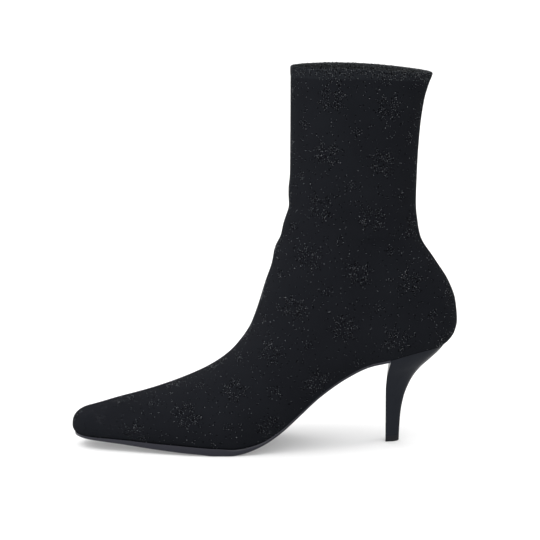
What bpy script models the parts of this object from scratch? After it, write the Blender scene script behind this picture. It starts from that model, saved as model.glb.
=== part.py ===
"""Knit ankle boot for the left foot: sock upper, insole, outsole, covered heel and top lift.

Units are metres. +Z is up, the toe points to -X and the outer side of the foot faces -Y.
The origin is on the floor, under the middle of the boot's box.
"""

import math
from types import SimpleNamespace

import bmesh
import bpy
import numpy as np

# Driving dimensions
BOOT_LENGTH = 0.252  # toe to the back of the heel
BALL_WIDTH = 0.0772  # upper across the ball
HEEL_HEIGHT = 0.0648  # floor to the back of the heel seat
COLLAR_HEIGHT = 0.2468  # floor to the rim, the measure of the heights below

# Upper
WALL = 0.0018  # knit with its lining
HEM_DEPTH = 0.0072  # turned hem at the rim
HEM_STEP = 0.0005  # how far the hem stands proud
TOE_ROUND = 0.0130  # length of the toe's rounded end
TOE_TUCK = 0.0016  # how far the toe wall draws back at the sole
HEEL_ROUND = 0.0420  # length of the heel's rounded end
WIDEST = 0.26  # height of the widest line, as a share of a section
BEND_ROW = 8  # row of the front line at the ankle bend
BEND_SLOPE, LEG_SLOPE = 3.0, 0.6  # of the foot's ridge at the ankle bend, and far behind it
BEND_EASE = 0.0150  # how far behind the bend the slope changes
TOE_POWER = 2.8
HEEL_POWER = 2.3
LEG_POWER = 2.15
STEM_POWER = 2.2

# Sole, insole and heel
SOLE_THICKNESS = 0.0051  # at its thickest, under the ball
SOLE_EDGE = 0.0010  # how far the sole stands out past the upper at the ball
SOLE_BEVEL = 0.0009
INSOLE_THICKNESS = 0.0022
GAP = 0.0003  # between pieces that meet
BREAST = 0.0804  # x of the heel's front face at its seat, on the outer side
BREAST_SWEEP = 0.0015  # how far the front face comes forward below the seat
BREAST_SKEW = 0.0064  # how far it draws back across the seat, to the inner side
LIFT_THICKNESS = 0.0038
LIFT_BEVEL = 0.0004

# Mesh density
PATH_POINTS = 200  # of the front and back lines
TOE_WALL_POINTS = 8
TOE_TURN_POINTS = 25
RING_COUNT = 27
HEM_CLEARANCE = 0.01  # least share of the front line between the hem and a ring
SOLE_POINTS = 29  # from the toe to the breast along one side
SEAT_POINTS = 9  # from the breast to the back of the upper along one side
CROWDING = 0.9  # how closely the stations crowd at toe and heel, from 0 to 1
HEEL_POINTS = 11  # from the breast to the back along one side of the heel
HEEL_RINGS = 17
HEEL_CLEARANCE = 0.02  # least share of the heel between its end and a ring
SHARP_ANGLE = math.radians(35)  # edges sharper than this are shaded as edges


def table(columns, rows):
    """A table with named columns, each an array."""
    return SimpleNamespace(**dict(zip(columns.split(), np.array(rows, float).T)))


# Front of the boot in side view, from the ridge over the toe to the rim.
# along: share of the length from the toe. up: share of the collar height.
FRONT_LINE = table("along up", [
    (0.0000, 0.0948),
    (0.0556, 0.1062),
    (0.1103, 0.1210),
    (0.2012, 0.1438),
    (0.2925, 0.1745),
    (0.3706, 0.2132),
    (0.4230, 0.2565),
    (0.4690, 0.3300),
    (0.5036, 0.4350),
    (0.5355, 0.5440),
    (0.5600, 0.6270),
    (0.5665, 0.7300),
    (0.5675, 1.0048),
])

# Back of the boot in side view, from the heel seat to the rim. Columns as above.
BACK_LINE = table("along up", [
    (0.9690, 0.2666),
    (0.9800, 0.2770),
    (0.9940, 0.2990),
    (1.0000, 0.3280),
    (0.9950, 0.3810),
    (0.9760, 0.4345),
    (0.9420, 0.4890),
    (0.9095, 0.5420),
    (0.8925, 0.5950),
    (0.8885, 0.6520),
    (0.8900, 0.7290),
    (0.8960, 0.8350),
    (0.9065, 0.9150),
    (0.9275, 0.9860),
])

# Underside of the sole, and the seat above the heel.
# lift: share of the heel height. thick: share of the sole's full thickness.
# edge: how far the sole stands out past the upper, as a share of its edge at the ball.
SOLE_LINE = table("along lift thick edge", [
    (0.0000, 0.1170, 0.32, 0.3),
    (0.0556, 0.0995, 0.42, 0.7),
    (0.1230, 0.0800, 0.59, 1.0),
    (0.2262, 0.0410, 0.82, 1.0),
    (0.2800, 0.0245, 0.93, 1.0),
    (0.3300, 0.0110, 0.94, 1.0),
    (0.3600, 0.0000, 1.00, 1.0),
    (0.4050, 0.0000, 0.87, 1.0),
    (0.4360, 0.0173, 0.74, 1.0),
    (0.4563, 0.0405, 0.64, 0.9),
    (0.4921, 0.1005, 0.46, 0.8),
    (0.5317, 0.1950, 0.43, 0.6),
    (0.5853, 0.3700, 0.40, 0.4),
    (0.6369, 0.5440, 0.36, 0.2),
    (0.7143, 0.7470, 0.35, 0.1),
    (0.7659, 0.8400, 0.35, 0.0),
    (0.8175, 0.8870, 0.35, 0.0),
    (0.8651, 0.9380, 0.35, 0.0),
    (0.9127, 0.9710, 0.35, 0.0),
    (1.0000, 0.9950, 0.35, 0.0),
])

# Plan of the foot: half widths of the upper and of the sole line, as shares of the ball width.
# crown: power of the arch over the foot, lower where the ridge is sharper.
# ridge: how far the ridge leans to the inner side.
FOOT_PLAN = table("along upper_out upper_in sole_out sole_in crown ridge", [
    (0.000, 0.155, 0.155, 0.136, 0.136, 2.9, 0.000),
    (0.056, 0.228, 0.233, 0.202, 0.207, 2.2, 0.004),
    (0.123, 0.298, 0.311, 0.270, 0.282, 2.1, 0.010),
    (0.214, 0.389, 0.412, 0.358, 0.378, 2.0, 0.020),
    (0.317, 0.474, 0.498, 0.440, 0.456, 1.9, 0.032),
    (0.400, 0.500, 0.490, 0.466, 0.448, 1.8, 0.040),
    (0.480, 0.482, 0.451, 0.443, 0.396, 1.8, 0.040),
    (0.560, 0.446, 0.407, 0.389, 0.339, 1.9, 0.030),
    (0.659, 0.404, 0.370, 0.324, 0.282, 2.0, 0.015),
    (0.770, 0.381, 0.363, 0.306, 0.280, 2.0, 0.005),
    (0.877, 0.376, 0.373, 0.329, 0.321, 2.0, 0.000),
    (1.000, 0.376, 0.373, 0.329, 0.321, 2.0, 0.000),
])

# Rings of the upper, from the sole line to the rim.
# front, back: share of the front and back line's length. follow: how far the ring keeps to the
# curve of the sole. leg: share of the oval leg section. width: the leg's half width by ball width.
# arch: how far the ring rises between front and back, by collar height.
RINGS = table("front back follow leg width arch", [
    (0.000, 0.000, 1.00, 0.00, 0.400, 0.000),
    (0.035, 0.030, 0.96, 0.00, 0.400, 0.000),
    (0.070, 0.060, 0.91, 0.00, 0.400, 0.000),
    (0.100, 0.090, 0.85, 0.00, 0.400, 0.000),
    (0.180, 0.150, 0.70, 0.03, 0.402, 0.000),
    (0.265, 0.205, 0.54, 0.10, 0.404, 0.000),
    (0.345, 0.265, 0.39, 0.22, 0.406, 0.000),
    (0.410, 0.335, 0.26, 0.38, 0.408, 0.000),
    (0.470, 0.400, 0.15, 0.56, 0.408, 0.000),
    (0.550, 0.470, 0.06, 0.75, 0.406, 0.000),
    (0.635, 0.550, 0.01, 0.92, 0.404, 0.000),
    (0.700, 0.620, 0.00, 1.00, 0.400, 0.000),
    (0.780, 0.710, 0.00, 1.00, 0.390, 0.001),
    (0.885, 0.850, 0.00, 1.00, 0.368, 0.0035),
    (1.000, 1.000, 0.00, 1.00, 0.335, 0.007),
])

# The heel from its seat down to the top lift.
# down: share of the way from the seat to the floor. back: x of the back, by boot length.
# half: half width by ball width. seat: how far a ring keeps to the curve of the seat.
# breast: how far the front face has come forward, as a share of its sweep.
HEEL_LINE = table("down back half seat breast", [
    (0.00, 0.9686, 0.329, 1.00, 0.00),
    (0.03, 0.9630, 0.318, 0.98, 0.00),
    (0.07, 0.9535, 0.300, 0.93, 0.40),
    (0.15, 0.9310, 0.258, 0.80, 0.78),
    (0.23, 0.9080, 0.212, 0.62, 0.96),
    (0.32, 0.8890, 0.168, 0.42, 1.00),
    (0.42, 0.8750, 0.130, 0.22, 0.93),
    (0.54, 0.8637, 0.101, 0.08, 0.77),
    (0.70, 0.8560, 0.080, 0.00, 0.60),
    (0.85, 0.8530, 0.069, 0.00, 0.50),
    (1.00, 0.8515, 0.064, 0.00, 0.45),
])

COLOURS = {
    "upper": ((0.0125, 0.0135, 0.0165), 0.9),
    "insole": ((0.020, 0.019, 0.019), 0.6),
    "outsole": ((0.030, 0.031, 0.037), 0.45),
    "heel": ((0.018, 0.019, 0.022), 0.28),
    "top_lift": ((0.016, 0.016, 0.018), 0.55),
}


def smooth(at, xs, ys):
    """Monotone cubic through the points (xs, ys), held at its ends."""
    at = np.clip(np.asarray(at, float), xs[0], xs[-1])
    step = np.diff(xs)
    slope = np.diff(ys) / step
    grade = np.empty_like(ys)
    grade[0], grade[-1] = slope[0], slope[-1]
    same_way = slope[:-1] * slope[1:] > 0
    before, after = 2 * step[1:] + step[:-1], step[1:] + 2 * step[:-1]
    with np.errstate(divide="ignore", invalid="ignore"):
        mean = (before + after) / (before / slope[:-1] + after / slope[1:])
    grade[1:-1] = np.where(same_way, mean, 0.0)
    i = np.clip(np.searchsorted(xs, at, side="right") - 1, 0, len(step) - 1)
    t = (at - xs[i]) / step[i]
    rise = ys[i] * (1 + 2 * t) * (1 - t) ** 2 + ys[i + 1] * t * t * (3 - 2 * t)
    return rise + step[i] * (grade[i] * t * (1 - t) ** 2 + grade[i + 1] * t * t * (t - 1))


def lengthwise(along):
    """x of a share of the boot's length from the toe."""
    return (np.asarray(along) - 0.5) * BOOT_LENGTH


def station(x):
    """Share of the boot's length from the toe."""
    return np.asarray(x) / BOOT_LENGTH + 0.5


def along_path(points, share):
    """The point at a share of a polyline's length."""
    steps = np.linalg.norm(np.diff(points, axis=0), axis=1)
    run = np.concatenate([[0.0], np.cumsum(steps)]) / steps.sum()
    return np.array([np.interp(share, run, axis) for axis in points.T])


def spline_path(xs, zs):
    """A smooth curve through points in side view, as a fine polyline."""
    run = np.concatenate([[0.0], np.cumsum(np.hypot(np.diff(xs), np.diff(zs)))])
    at = np.linspace(0.0, run[-1], PATH_POINTS)
    return np.column_stack([smooth(at, run, xs), smooth(at, run, zs)])


# Heights along the boot

def tread(x):
    """Underside of the sole."""
    return HEEL_HEIGHT * smooth(station(x), SOLE_LINE.along, SOLE_LINE.lift)


def sole_top(x):
    """Sole line, where the upper meets the sole."""
    return tread(x) + SOLE_THICKNESS * smooth(station(x), SOLE_LINE.along, SOLE_LINE.thick)


RIDGE_PATH = spline_path(lengthwise(FRONT_LINE.along), COLLAR_HEIGHT * FRONT_LINE.up)
BACK_PATH = spline_path(lengthwise(BACK_LINE.along), COLLAR_HEIGHT * BACK_LINE.up)
TOE = -BOOT_LENGTH / 2
ANKLE_BEND = lengthwise(FRONT_LINE.along[BEND_ROW])
BEND_TOP = COLLAR_HEIGHT * FRONT_LINE.up[BEND_ROW]


def ridge(x):
    """Top of the foot's upright sections. Behind the ankle bend it eases to a gentle rise."""
    ahead = np.interp(x, RIDGE_PATH[:, 0], RIDGE_PATH[:, 1])
    past = np.clip(x - ANKLE_BEND, 0, None)
    eased = (BEND_SLOPE - LEG_SLOPE) * BEND_EASE * (1 - np.exp(-past / BEND_EASE))
    return np.where(past > 0, BEND_TOP + LEG_SLOPE * past + eased, ahead)


def back(z):
    """x of the back of the boot at a height."""
    return np.interp(z, BACK_PATH[:, 1], BACK_PATH[:, 0])


# Sections of the foot

def plan(x, column):
    return BALL_WIDTH * smooth(station(x), FOOT_PLAN.along, getattr(FOOT_PLAN, column))


def tuck(height):
    """1 at the sole line, easing to 0 at the widest line."""
    return np.clip(1 - height / WIDEST, 0, 1) ** 2


def foot_half(x, z, side):
    """Half width of the foot at a point of the side view, from the ridge's own line."""
    height = np.clip((z - sole_top(x)) / (ridge(x) - sole_top(x)), 0, 1)
    lean = plan(x, "ridge") * (1 if side == "out" else -1)
    widest, sole = plan(x, "upper_" + side), plan(x, "sole_" + side)
    full = widest + (sole - widest) * tuck(height) + lean
    crown = np.clip((height - WIDEST) / (1 - WIDEST), 0, 1)
    toe = np.clip(1 - (x - TOE - TOE_TUCK * tuck(height)) / TOE_ROUND, 0, 1)
    heel = np.clip(1 - (back(z) - x) / HEEL_ROUND, 0, 1)
    crown_power = smooth(station(x), FOOT_PLAN.along, FOOT_PLAN.crown)
    left = 1 - crown ** crown_power - toe ** TOE_POWER - heel ** HEEL_POWER
    return full * np.sqrt(np.clip(left, 0, 1))


def front_path():
    """Front of the boot in side view: toe wall, rounded toe, ridge and shin, as one polyline."""
    low = np.linspace(0, WIDEST, TOE_WALL_POINTS)
    wall_x = TOE + TOE_TUCK * tuck(low)
    turn = np.linspace(0, math.pi / 2, TOE_TURN_POINTS)[1:]
    toe_x = TOE + (1 - np.cos(turn) ** (2 / TOE_POWER)) * TOE_ROUND
    crown_power = smooth(station(toe_x), FOOT_PLAN.along, FOOT_PLAN.crown)
    high = WIDEST + (1 - WIDEST) * np.sin(turn) ** (2 / crown_power)
    xs = np.concatenate([wall_x, toe_x])
    heights = np.concatenate([low, high])
    zs = sole_top(xs) + heights * (ridge(xs) - sole_top(xs))
    rest = RIDGE_PATH[RIDGE_PATH[:, 0] > TOE + TOE_ROUND]
    return np.vstack([np.column_stack([xs, zs]), rest])


FRONT_PATH = front_path()
FRONT_RUN = np.linalg.norm(np.diff(FRONT_PATH, axis=0), axis=1).sum()
SOLE_FRONT, SOLE_BACK = FRONT_PATH[0], BACK_PATH[0]


def ring_sides(level, shares):
    """Outer and inner side of one ring of the upper, each an array of points from toe to heel.

    level is the share of the front line's length where the ring starts.
    """
    column = {name: smooth(level, RINGS.front, getattr(RINGS, name))
              for name in ("back", "follow", "leg", "width", "arch")}
    start, end = along_path(FRONT_PATH, level), along_path(BACK_PATH, column["back"])
    x = start[0] + (end[0] - start[0]) * shares
    sole_x = SOLE_FRONT[0] + (SOLE_BACK[0] - SOLE_FRONT[0]) * shares
    sole_chord = SOLE_FRONT[1] + (SOLE_BACK[1] - SOLE_FRONT[1]) * shares
    bow = sole_top(sole_x) - sole_chord
    z = start[1] + (end[1] - start[1]) * shares + column["follow"] * bow
    z = z + COLLAR_HEIGHT * column["arch"] * np.sin(math.pi * shares)
    oval = (1 - np.abs(2 * shares - 1) ** LEG_POWER) ** (1 / LEG_POWER)
    leg = column["leg"]
    centre = plan(x, "ridge") * (1 - leg)
    sides = []
    for side, sign in (("out", -1), ("in", 1)):
        half = (1 - leg) * foot_half(x, z, side) + leg * column["width"] * BALL_WIDTH * oval
        half[[0, -1]] = 0.0
        sides.append(np.column_stack([x, centre + sign * half, z]))
    return sides


def closed_ring(sides):
    """One loop from the toe down the outer side to the heel and back up the inner side."""
    outer, inner = sides
    return np.vstack([outer, inner[-2:0:-1]])


def side_shares():
    """Stations from toe to heel along one side, closer at both ends, with one at the breast."""
    breast = (BREAST - GAP - SOLE_FRONT[0]) / (SOLE_BACK[0] - SOLE_FRONT[0])
    ahead = np.linspace(0, 1, SOLE_POINTS)
    behind = np.linspace(0, 1, SEAT_POINTS + 1)[1:]
    from_toe = (1 - CROWDING) * ahead + CROWDING * (1 - np.cos(ahead * math.pi / 2))
    to_back = (1 - CROWDING) * behind + CROWDING * np.sin(behind * math.pi / 2)
    return np.concatenate([breast * from_toe, breast + (1 - breast) * to_back])


def ring_normals(rings):
    """Outward normals of a grid of rings."""
    around = np.roll(rings, -1, axis=1) - np.roll(rings, 1, axis=1)
    upward = np.gradient(rings, axis=0)
    normal = np.cross(around, upward)
    return normal / np.linalg.norm(normal, axis=2, keepdims=True)


# Mesh building

def make_object(name, points, faces):
    """A named object with outward faces and its own material."""
    mesh = bpy.data.meshes.new(name)
    mesh.from_pydata([tuple(p) for p in points], [], faces)
    body = bmesh.new()
    body.from_mesh(mesh)
    bmesh.ops.recalc_face_normals(body, faces=body.faces)
    body.to_mesh(mesh)
    body.free()
    mesh.shade_smooth()
    mesh.set_sharp_from_angle(angle=SHARP_ANGLE)
    obj = bpy.data.objects.new(name, mesh)
    bpy.context.scene.collection.objects.link(obj)
    mesh.materials.append(make_material(name))
    return obj


def make_material(name):
    colour, roughness = COLOURS[name]
    material = bpy.data.materials.new(name)
    material.use_nodes = True
    shader = material.node_tree.nodes["Principled BSDF"]
    shader.inputs["Base Color"].default_value = (*colour, 1.0)
    shader.inputs["Roughness"].default_value = roughness
    shader.inputs["Metallic"].default_value = 0.0
    return material


def skin_faces(loops, size):
    """Quads between consecutive loops of the same size."""
    faces = []
    for low in range(loops - 1):
        for i in range(size):
            j = (i + 1) % size
            faces.append((low * size + i, low * size + j, (low + 1) * size + j, (low + 1) * size + i))
    return faces


def ladder_faces(base, size, tip_at_end):
    """A cap between the two sides of a loop that starts at a tip."""
    faces = [(base, base + 1, base + size - 1)]
    left, right = 1, size - 1
    while right - left > 2:
        faces.append((base + left, base + left + 1, base + right - 1, base + right))
        left, right = left + 1, right - 1
    if tip_at_end:
        faces.append((base + left, base + left + 1, base + right))
    return faces


def stacked_solid(name, loops, tip_at_end):
    """A solid through loops laid on each other, closed by a cap at the first and the last."""
    size = len(loops[0])
    faces = skin_faces(len(loops), size)
    faces += ladder_faces(0, size, tip_at_end)
    faces += ladder_faces((len(loops) - 1) * size, size, tip_at_end)
    return make_object(name, np.vstack(loops), faces)


def plan_outward(loop):
    """The way outward in plan at each point of a loop that runs anticlockwise from above."""
    step = np.roll(loop, -1, axis=0) - np.roll(loop, 1, axis=0)
    outward = np.column_stack([step[:, 1], -step[:, 0]])
    return outward / np.linalg.norm(outward, axis=1, keepdims=True)


def at_height(outline, heights):
    return np.column_stack([outline, np.broadcast_to(heights, len(outline))])


# Pieces

def make_upper():
    """The sock: one hollow wall, open at the rim and along the sole line."""
    shares = side_shares()
    rows = np.linspace(0, len(RINGS.front) - 1, RING_COUNT)
    hem = 1 - HEM_DEPTH / FRONT_RUN
    levels = np.interp(rows, np.arange(len(RINGS.front)), RINGS.front)
    levels = [*levels[levels < hem - HEM_CLEARANCE], hem, 1.0]
    skin = np.array([closed_ring(ring_sides(level, shares)) for level in levels])
    normal = ring_normals(skin)
    lining = skin - WALL * normal
    lining[0, :, :2] = skin[0, :, :2] - WALL * plan_outward(skin[0, :, :2])
    lining[0, :, 2] = skin[0, :, 2]
    raised_hem = skin[-2:] + HEM_STEP * normal[-2:]
    loops = [*skin[:-1], *raised_hem, *lining[::-1]]
    size = skin.shape[1]
    faces = skin_faces(len(loops), size)
    last = (len(loops) - 1) * size
    faces += [(last + i, last + (i + 1) % size, (i + 1) % size, i) for i in range(size)]
    return make_object("upper", np.vstack(loops), faces)


def make_insole():
    """A thin board inside the upper, on the sole and the heel seat."""
    ring = closed_ring(ring_sides(0.0, side_shares()))[:, :2]
    outline = ring - (WALL + GAP) * plan_outward(ring)
    low = sole_top(outline[:, 0])
    loops = [at_height(outline, low), at_height(outline, low + INSOLE_THICKNESS)]
    return stacked_solid("insole", loops, tip_at_end=True)


def make_outsole():
    """The sole from the toe to the heel's breast, with its ball on the floor."""
    ring = closed_ring(ring_sides(0.0, side_shares()))[:, :2]
    ahead = np.r_[0:SOLE_POINTS, len(ring) + 1 - SOLE_POINTS:len(ring)]
    outward = plan_outward(ring)[ahead]
    ring = ring[ahead]
    edge = SOLE_EDGE * smooth(station(ring[:, 0]), SOLE_LINE.along, SOLE_LINE.edge)
    wide = ring + edge[:, None] * outward
    narrow = wide - SOLE_BEVEL * outward
    inner_end = SOLE_POINTS
    for outline in (wide, narrow):
        outline[:, 0] = np.minimum(outline[:, 0], BREAST - GAP)
        outline[inner_end, 0] = BREAST + BREAST_SKEW - GAP
    loops = [
        at_height(wide, sole_top(wide[:, 0]) - GAP),
        at_height(wide, tread(wide[:, 0]) + SOLE_BEVEL),
        at_height(narrow, tread(narrow[:, 0])),
    ]
    return stacked_solid("outsole", loops, tip_at_end=False)


def heel_ring(down):
    """One ring of the heel, from its back round by the breast, at a share of the way down."""
    back_x = lengthwise(smooth(down, HEEL_LINE.down, HEEL_LINE.back))
    half = smooth(down, HEEL_LINE.down, HEEL_LINE.half)
    seat = smooth(down, HEEL_LINE.down, HEEL_LINE.seat)
    breast = BREAST - BREAST_SWEEP * smooth(down, HEEL_LINE.down, HEEL_LINE.breast)
    to_back = np.cos(np.linspace(0, math.pi / 2, HEEL_POINTS))
    sides = []
    for side, sign in (("in", 1), ("out", -1)):
        front_x = breast + (BREAST_SKEW * half / HEEL_LINE.half[0] if side == "in" else 0.0)
        seat_x = front_x + (SOLE_BACK[0] - front_x) * to_back
        seat_half = foot_half(seat_x, sole_top(seat_x), side) * half / HEEL_LINE.half[0]
        stem_half = BALL_WIDTH * half * (1 - to_back ** STEM_POWER) ** (1 / STEM_POWER)
        y = sign * (seat * seat_half + (1 - seat) * stem_half)
        y[0] = 0.0
        x = front_x + (back_x - front_x) * to_back
        z = HEEL_HEIGHT * (1 - down) + seat * (sole_top(seat_x) - GAP - HEEL_HEIGHT)
        sides.append(np.column_stack([x, y, z]))
    inner, outer = sides
    return np.vstack([inner, outer[:0:-1]])


def make_heel():
    """The covered heel, from the seat to the top lift."""
    end = 1 - (LIFT_THICKNESS + GAP) / HEEL_HEIGHT
    rows = np.linspace(0, len(HEEL_LINE.down) - 1, HEEL_RINGS)
    levels = np.interp(rows, np.arange(len(HEEL_LINE.down)), HEEL_LINE.down)
    levels = [*levels[levels < end - HEEL_CLEARANCE], end]
    return stacked_solid("heel", [heel_ring(level) for level in levels], tip_at_end=False)


def make_top_lift():
    """The lift that the heel stands on."""
    top = heel_ring(1 - LIFT_THICKNESS / HEEL_HEIGHT)
    low = heel_ring(1 - LIFT_BEVEL / HEEL_HEIGHT)
    base = at_height(low[:, :2] - LIFT_BEVEL * plan_outward(low[:, :2]), 0.0)
    return stacked_solid("top_lift", [top, low, base], tip_at_end=False)


def main():
    for obj in list(bpy.data.objects):
        bpy.data.objects.remove(obj)
    make_upper()
    make_insole()
    make_outsole()
    make_heel()
    make_top_lift()


main()
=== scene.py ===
"""Looks of the knit ankle boot, on finer meshes of the same forms as its solids.

Units are metres. +Z is up, the toe points to -X and the outer side of the left foot faces -Y.
"""

import math
from types import SimpleNamespace

import bpy
import numpy as np
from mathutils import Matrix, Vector


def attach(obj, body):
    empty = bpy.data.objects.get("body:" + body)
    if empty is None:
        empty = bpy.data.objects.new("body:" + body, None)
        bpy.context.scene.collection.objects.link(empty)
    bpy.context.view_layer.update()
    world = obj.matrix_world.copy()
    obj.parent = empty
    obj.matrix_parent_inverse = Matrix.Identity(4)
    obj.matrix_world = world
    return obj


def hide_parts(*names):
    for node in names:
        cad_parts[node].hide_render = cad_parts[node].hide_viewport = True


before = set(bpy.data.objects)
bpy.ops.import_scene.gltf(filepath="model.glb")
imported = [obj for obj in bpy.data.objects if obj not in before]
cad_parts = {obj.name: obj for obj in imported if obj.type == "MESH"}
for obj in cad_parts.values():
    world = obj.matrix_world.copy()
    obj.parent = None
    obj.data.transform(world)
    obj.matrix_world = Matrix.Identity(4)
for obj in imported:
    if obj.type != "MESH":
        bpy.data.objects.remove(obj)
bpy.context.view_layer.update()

# Driving dimensions, the same as the solids'
BOOT_LENGTH = 0.252  # toe to the back of the heel
BALL_WIDTH = 0.0772  # upper across the ball
HEEL_HEIGHT = 0.0648  # floor to the back of the heel seat
COLLAR_HEIGHT = 0.2468  # floor to the rim, the measure of the heights below

# Upper
WALL = 0.0018  # knit with its lining
HEM_DEPTH = 0.0072  # turned hem at the rim
HEM_STEP = 0.0005  # how far the hem stands proud
NAP = 0.0003  # how far the knit's loops stand out of its wall
NAP_RISE = 0.0030  # above the sole line, where the loops have come out in full
TOE_ROUND = 0.0130  # length of the toe's rounded end
TOE_TUCK = 0.0016  # how far the toe wall draws back at the sole
HEEL_ROUND = 0.0420  # length of the heel's rounded end
WIDEST = 0.26  # height of the widest line, as a share of a section
TOE_POWER = 2.8  # powers of the rounded ends in plan: 2 is an ellipse, and more is squarer
HEEL_POWER = 2.3
LEG_POWER = 2.15
STEM_POWER = 2.2
BEND_ROW = 8  # row of the front line at the ankle bend
BEND_SLOPE = 3.0  # of the foot's ridge at the ankle bend
LEG_SLOPE = 0.6  # and far behind it
BEND_EASE = 0.0150  # how far behind the bend the slope changes
CREASE_FADE = 0.004  # from the boot's middle, over which a crease of one side fades out

# Sole, insole and heel
SOLE_THICKNESS = 0.0051  # at its thickest, under the ball
SOLE_EDGE = 0.0010  # how far the sole stands out past the upper at the ball
INSOLE_THICKNESS = 0.0022
INSOLE_ROUND = 0.0007  # rounding of its top edge
INSOLE_SOFT = 0.3  # how far in and down the middle of that rounding lies, as a share of it
GAP = 0.0003  # between pieces that meet
LOOK_GAP = 0.00008  # between the sole, the heel and their neighbours as they show
BREAST = 0.0804  # x of the heel's front face at its seat, on the outer side
BREAST_SWEEP = 0.0015  # how far the front face comes forward below the seat
BREAST_SKEW = 0.0064  # how far it draws back across the seat, to the inner side
HEEL_EDGE = 0.0002  # rounding of the heel's edges
HEEL_SKIN = 0.00025  # thickness of the heel's cover below its seat
LIFT_THICKNESS = 0.0038
LIFT_BEVEL = 0.0004  # of its lower edge

# Knit
WALE = 0.00108  # width of a stitch
COURSE = 0.00095  # height of a stitch
LEG_SLANT = 1.1  # courses that the legs of a stitch climb from its middle to its edges
STAR_WALES = 32  # repeat of the stars across the knit
STAR_COURSES = 36  # and along it
DIAMOND = 3  # stitches from the middle of a diamond to its tip
STAR_SHARE = 0.97  # share of a star's stitches that glint
LONE_SHARE = 0.074  # the same between the stars
HEM_SHARE = 0.60  # share of the hem's stitches with a loop that stands out
HEM_FADE = 0.0075  # height over which the loops set in, from below the hem's edge
HEM_WAVES = ((0.0290, 0.0016), (0.0125, 0.0011))  # length and height of the waves in which they do
FADE_ROWS = 2  # rows of the skin below the hem that have loops too
KNIT_FUZZ = 0.35  # height of the fuzz by the height of a stitch
LINING_STITCH = 0.0005  # width and height of a stitch of the lining
LINING_SLANT = 0.5  # the same as the slant above, for the lining
LUREX_SEED = 7
LOOP_SEED = 11
SPECK_SIZE = (0.00043, 0.00032, 0.00024)  # length, width and height
SPECK_SPREAD = (0.50, 0.75)  # share of that size that all specks have, and what the largest add
SPECK_SKEW = 3  # power that keeps most specks small
SPECK_STRAY = 0.20  # spread of the specks about their stitch, in stitches
PAINTED_SHADE_SIZE = (0.00092, 0.00078, 0.00012)  # the same for the near-black grains of painted shade beside specks and loops
PAINTED_SHADE_SPREAD = (0.45, 0.80)  # share of that size that all grains of painted shade have, and what the largest add
PAINTED_SHADE_REACH = 0.00075  # from the middle of a speck or loop to its grain of painted shade
LOOP_SIZE = (0.00110, 0.00030, 0.00024)  # the same for a loop of the hem
LOOP_SPREAD = (0.5, 1.0)  # smallest and largest share of that size
SPECK_LEAN = 0.5  # spread of the lean from upright of the specks and of the grains of painted shade, in radians
LOOP_LEAN = 0.6  # spread of the loops' lean from level

# Mesh density
PATH_POINTS = 200  # points of the front line and of the back line
TOE_WALL_POINTS = 8
TOE_TURN_POINTS = 25
RING_SAMPLES = 500  # points along one side of a ring before they are spaced evenly
RING_HALF = 140  # quads along one side of a ring of the upper
SKIN_ROWS = 150
LINING_ROWS = 48
FLAT_STEP = 4  # quads of the upper between the columns that are laid out flat
FLAT_ROWS = 50
FLAT_LEG = FLAT_ROWS // 4  # of these rows, counted from the rim, how many lie on the straight leg
SOLE_HALF = 170
HEEL_HALF = 44
HEEL_ROWS = 80
EDGE_TURNS = 6  # rows of each rounding of the sole's edge
RIM_TURNS = 11  # rows of the roll at the rim
BEVEL_SEGMENTS = 3
SHARP = 40  # degrees between two faces from which their edge stays sharp
KNIT_SHARP = 70
NEVER_SHARP = 180
TOP_START = math.radians(40)  # slope at which the rounding of the sole's top edge begins
LEVEL_DIGITS = 7  # levels of the upper that agree this far are one
DENSE = (1 - np.cos(np.linspace(0, math.pi, RING_SAMPLES))) / 2  # shares toe to heel, crowded at the ends

# Stage
FLOOR_HALF = 12.0  # half the side of the floor
FLOOR_GREY = 0.60
FLOOR_GLOW = 0.24  # light that comes through the floor
SKY_LOW = 0.76  # brightness of the sky at the horizon
SKY_RISE = 1.45  # how much brighter it is overhead
SKY_LEFT = 0.64  # how much brighter it is on the toe's side, and darker on the other
SOFTBOXES = (  # name, place, side and power in watts
    ("left", (-1.1, -0.4, 1.5), 0.8, 9.0),
    ("front", (-0.2, -1.5, 0.35), 1.0, 6.0),
    ("back_right", (1.2, 0.5, 1.1), 0.6, 2.0),
)
SOFTBOX_AIM = Vector((0.0, 0.0, 0.10))
CAMERA_PLACE = Vector((-0.0672, -1.3481, 0.3617))
CAMERA_TARGET = Vector((0.0035, 0.0, 0.115))
CAMERA_LENS = 140.6  # mm on a 36 mm sensor
WHITE = (1.0, 1.0, 1.0, 1.0)


def table(columns, rows):
    """A table with named columns, each an array."""
    return SimpleNamespace(**dict(zip(columns.split(), np.array(rows, float).T)))


# Front of the boot in side view, from the ridge over the toe to the rim.
# along: share of the length from the toe. up: share of the collar height.
FRONT_LINE = table("along up", [
    (0.0000, 0.0948),
    (0.0556, 0.1062),
    (0.1103, 0.1210),
    (0.2012, 0.1438),
    (0.2925, 0.1745),
    (0.3706, 0.2132),
    (0.4230, 0.2565),
    (0.4690, 0.3300),
    (0.5036, 0.4350),
    (0.5355, 0.5440),
    (0.5600, 0.6270),
    (0.5665, 0.7300),
    (0.5675, 1.0048),
])

# Back of the boot in side view, from the heel seat to the rim. Columns as above.
BACK_LINE = table("along up", [
    (0.9690, 0.2666),
    (0.9800, 0.2770),
    (0.9940, 0.2990),
    (1.0000, 0.3280),
    (0.9950, 0.3810),
    (0.9760, 0.4345),
    (0.9420, 0.4890),
    (0.9095, 0.5420),
    (0.8925, 0.5950),
    (0.8885, 0.6520),
    (0.8900, 0.7290),
    (0.8960, 0.8350),
    (0.9065, 0.9150),
    (0.9275, 0.9860),
])

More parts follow.
